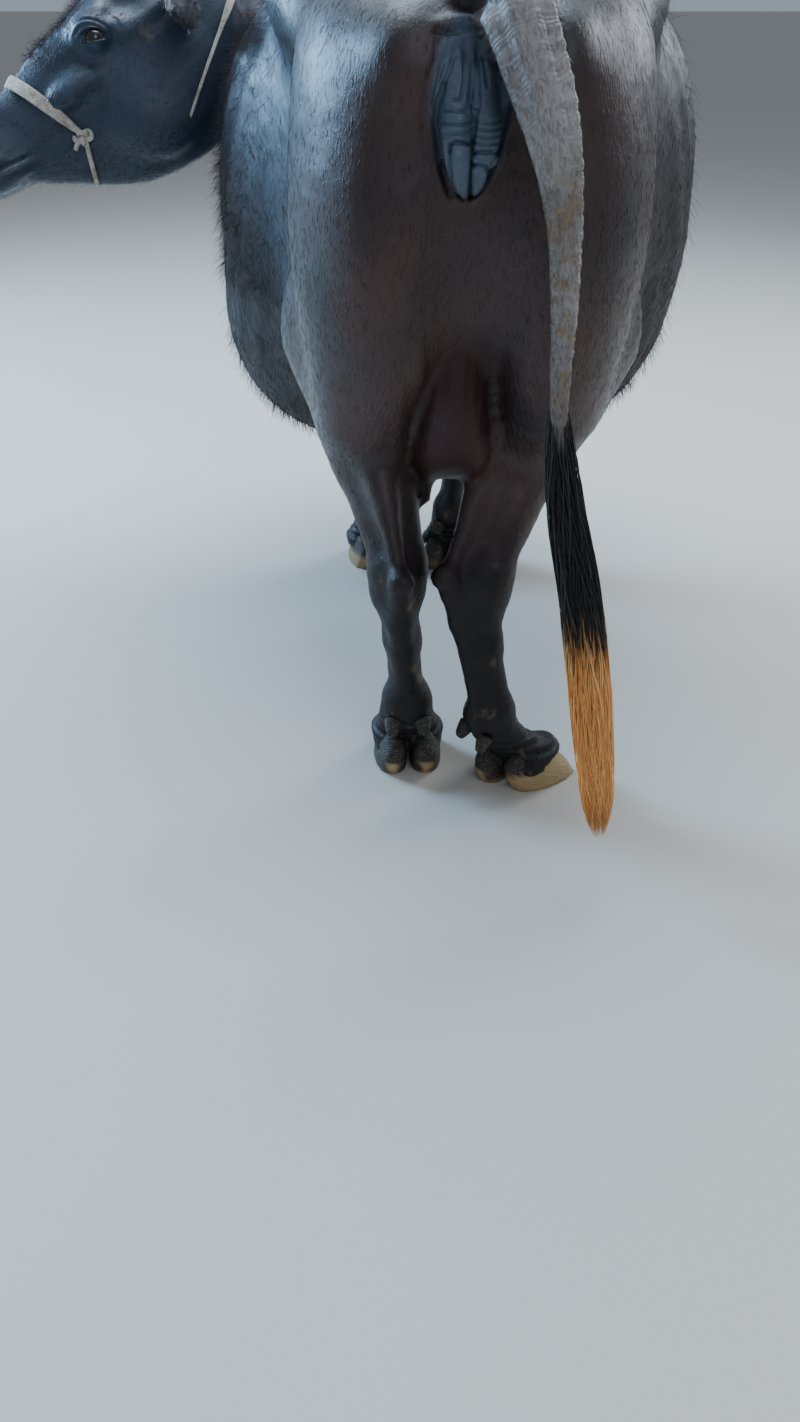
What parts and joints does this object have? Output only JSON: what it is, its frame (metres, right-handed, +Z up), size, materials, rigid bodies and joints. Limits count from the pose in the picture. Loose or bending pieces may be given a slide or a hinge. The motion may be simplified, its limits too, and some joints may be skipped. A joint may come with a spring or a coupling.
{
  "type": "water buffalo",
  "caption": "Adult dairy water buffalo cow standing with her head turned back over her left side, in a rope halter, tail hanging; a still figure, life size.",
  "frame": {"origin": "on the ground, under the middle of her box", "axes": "+Y ahead along the trunk, +X to her right, +Z up; the head is turned towards -X"},
  "size_m": [1.4512, 1.7434, 1.423],
  "materials": {
    "hide": "satin",
    "udder": "satin",
    "bare_skin": "satin",
    "horn": "satin",
    "hoof": "matte",
    "eye": "gloss",
    "switch_hair": "matte",
    "halter": "matte"
  },
  "bodies": {
    "root": {"claw_fore_left_inner": "hoof", "claw_fore_left_outer": "hoof", "claw_fore_right_inner": "hoof", "claw_fore_right_outer": "hoof", "claw_hind_left_inner": "hoof", "claw_hind_left_outer": "hoof", "claw_hind_right_inner": "hoof", "claw_hind_right_outer": "hoof", "dewclaw_fore_left_inner": "horn", "dewclaw_fore_left_outer": "horn", "dewclaw_fore_right_inner": "horn", "dewclaw_fore_right_outer": "horn", "dewclaw_hind_left_inner": "horn", "dewclaw_hind_left_outer": "horn", "dewclaw_hind_right_inner": "horn", "dewclaw_hind_right_outer": "horn", "ear_left": "hide", "ear_right": "hide", "eye_left": "eye", "eye_right": "eye", "foreleg_left": "hide", "foreleg_right": "hide", "halter_knot": "halter", "halter_neck_strap": "halter", "halter_noseband": "halter", "head": "hide", "hindleg_left": "hide", "hindleg_right": "hide", "horn_left": "horn", "horn_right": "horn", "neck": "hide", "tail_dock": "hide", "tail_switch": "switch_hair", "torso": "hide", "udder": "udder", "vulva": "bare_skin"}
  },
  "joints": []
}
